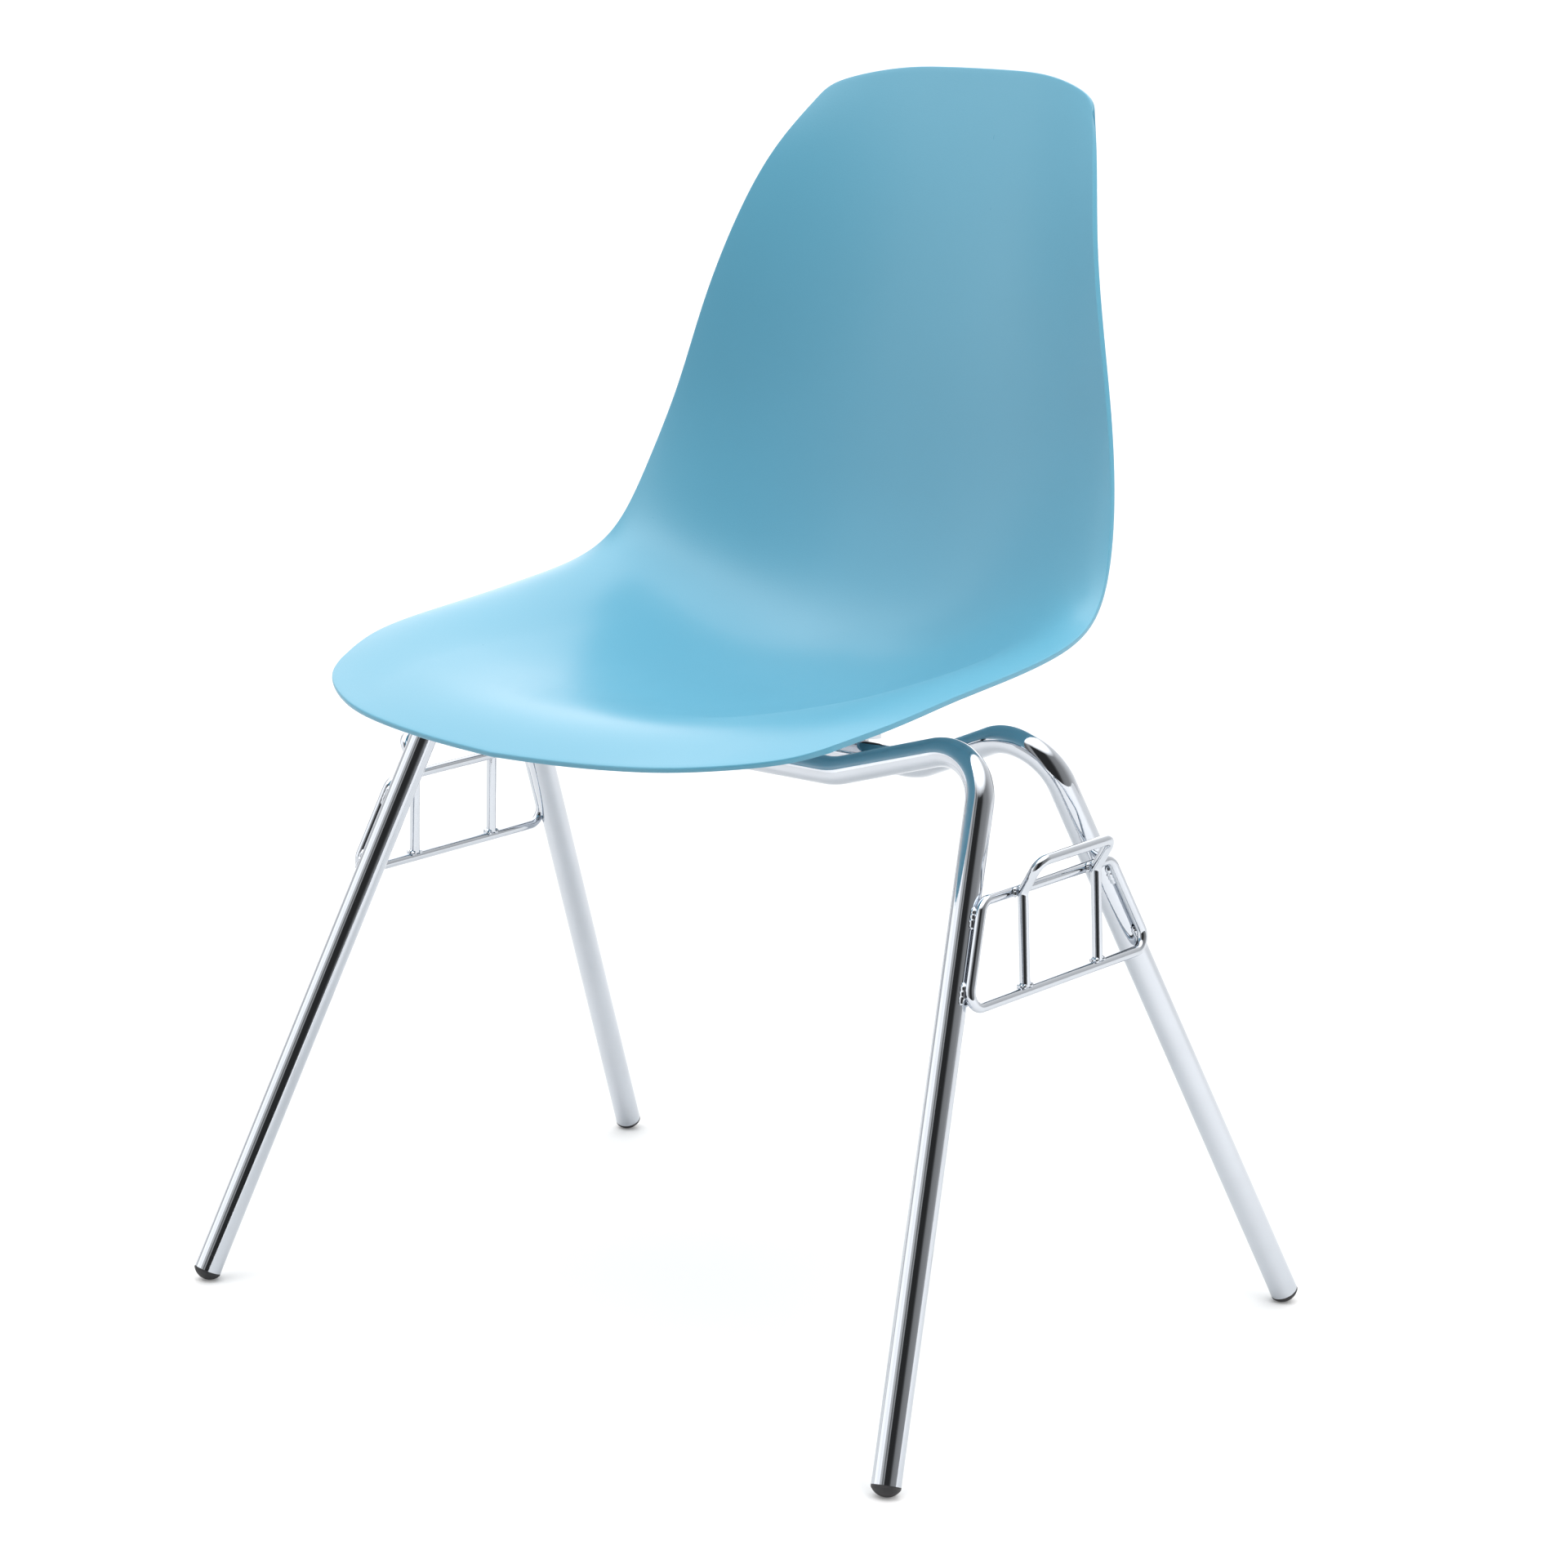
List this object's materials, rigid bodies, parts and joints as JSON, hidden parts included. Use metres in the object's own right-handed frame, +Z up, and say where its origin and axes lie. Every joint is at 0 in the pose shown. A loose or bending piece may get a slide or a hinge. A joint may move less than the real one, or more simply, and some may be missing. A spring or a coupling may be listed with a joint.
{
  "type": "stacking chair",
  "caption": "Armless stacking side chair: one-piece moulded bucket shell in light blue on two crossed-over bright tube leg hoops, with wire row-linking hooks on both sides.",
  "frame": {"origin": "on the floor, under the middle of the chair's overall width and depth", "axes": "+Z up, the sitter faces -Y, +X is the chair's right side as seen from the front"},
  "size_m": [0.6274, 0.5107, 0.829],
  "materials": {
    "seat_plastic": "satin, very fine moulded grain",
    "leg_chrome": "mirror bright plating",
    "wire_chrome": "mirror bright plating with small weld beads",
    "plate_chrome": "bright plating, plated together with the hoops",
    "mount_rubber": "matt moulded rubber",
    "insert_steel": "zinc plated, turned",
    "washer_steel": "zinc plated, stamped",
    "screw_steel": "zinc plated, rolled",
    "foot_plastic": "matt, lightly scuffed underneath"
  },
  "bodies": {
    "root": {"seat_shell": "seat_plastic", "front_leg_hoop": "leg_chrome", "rear_leg_hoop": "leg_chrome", "left_link_frame": "wire_chrome", "right_link_frame": "wire_chrome", "left_hook_wire": "wire_chrome", "right_hook_wire": "wire_chrome", "left_mount_plate": "plate_chrome", "right_mount_plate": "plate_chrome", "front_left_rubber_mount": "mount_rubber", "front_right_rubber_mount": "mount_rubber", "rear_left_rubber_mount": "mount_rubber", "rear_right_rubber_mount": "mount_rubber", "front_left_insert": "insert_steel", "front_right_insert": "insert_steel", "rear_left_insert": "insert_steel", "rear_right_insert": "insert_steel", "front_left_washer": "washer_steel", "front_right_washer": "washer_steel", "rear_left_washer": "washer_steel", "rear_right_washer": "washer_steel", "front_left_screw": "screw_steel", "front_right_screw": "screw_steel", "rear_left_screw": "screw_steel", "rear_right_screw": "screw_steel", "front_left_foot": "foot_plastic", "front_right_foot": "foot_plastic", "rear_left_foot": "foot_plastic", "rear_right_foot": "foot_plastic"}
  },
  "joints": []
}
